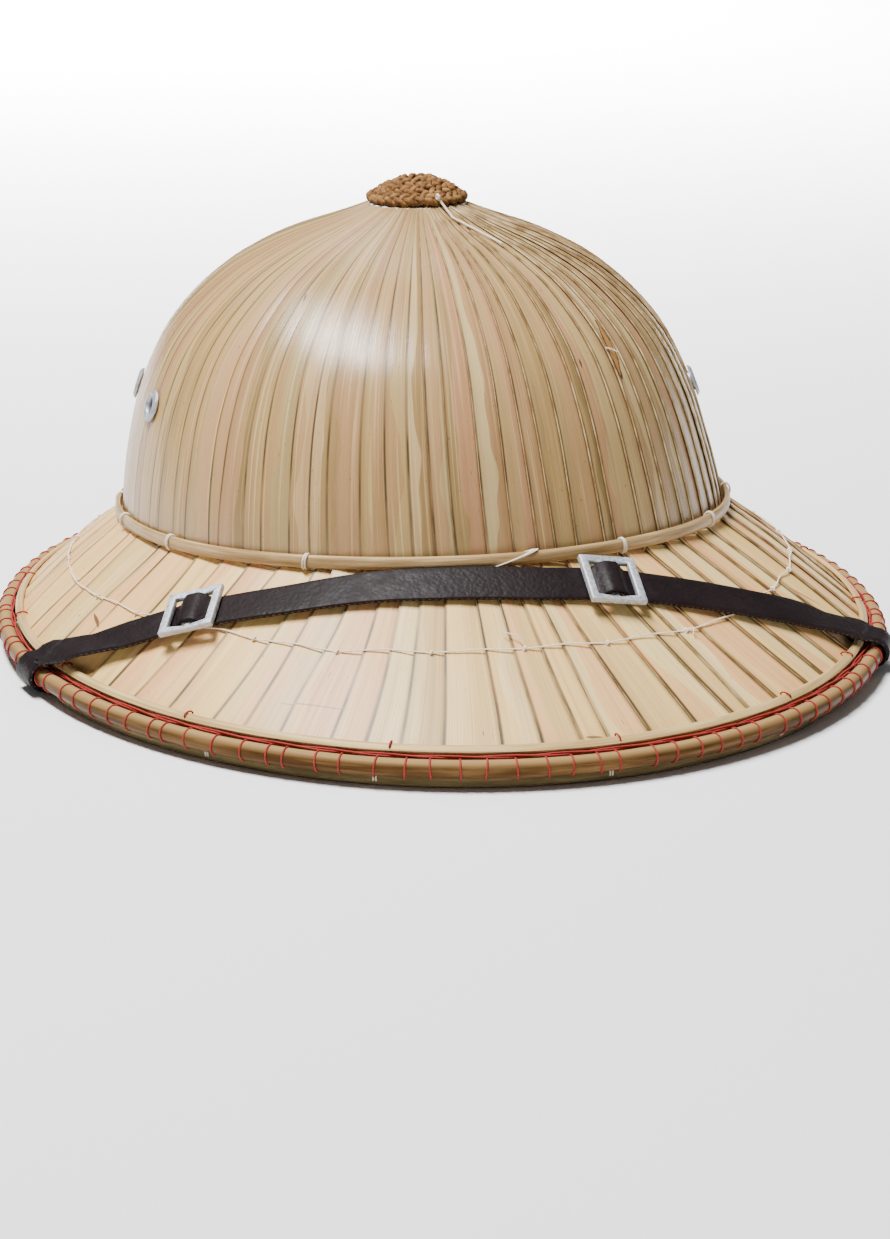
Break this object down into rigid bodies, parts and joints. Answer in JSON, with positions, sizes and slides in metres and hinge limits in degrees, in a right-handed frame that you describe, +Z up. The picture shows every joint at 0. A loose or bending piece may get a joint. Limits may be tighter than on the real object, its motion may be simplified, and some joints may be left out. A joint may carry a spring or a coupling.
{
  "type": "pith_helmet",
  "caption": "Oval sun helmet of overlapping palm-leaf strips on cane hoops, with a coiled straw button, four vent eyelets and a leather chin strap with two slide buckles laid over its brim",
  "frame": {"origin": "on the plane the hat rests on, at the middle of its rim's length and width", "axes": "+Z up; -Y the front, where the strap lies over the brim; +Y the back; +X the wearer's left, at the right of the picture"},
  "size_m": [0.2982, 0.3458, 0.1526],
  "materials": {
    "crown_leaf": "satin dried palm leaf",
    "brim_leaf": "satin dried palm leaf",
    "cane": "split cane, satin",
    "glossy_cane": "glossy round cane",
    "strap_leather": "pebbled, semi-gloss",
    "buckle_metal": "rough cast, dull silver",
    "eyelet_metal": "rolled, dull silver",
    "button_straw": "matt plaited straw"
  },
  "bodies": {
    "root": {"crown": "crown_leaf", "brim": "brim_leaf", "crown_band": "cane", "rim_top_cane": "cane", "rim_hoop": "glossy_cane", "rim_under_hoop": "cane", "chin_strap": "strap_leather", "buckle_left": "buckle_metal", "buckle_right": "buckle_metal", "eyelet_left_front": "eyelet_metal", "eyelet_left_rear": "eyelet_metal", "eyelet_right_front": "eyelet_metal", "eyelet_right_rear": "eyelet_metal", "top_button": "button_straw"}
  },
  "joints": []
}
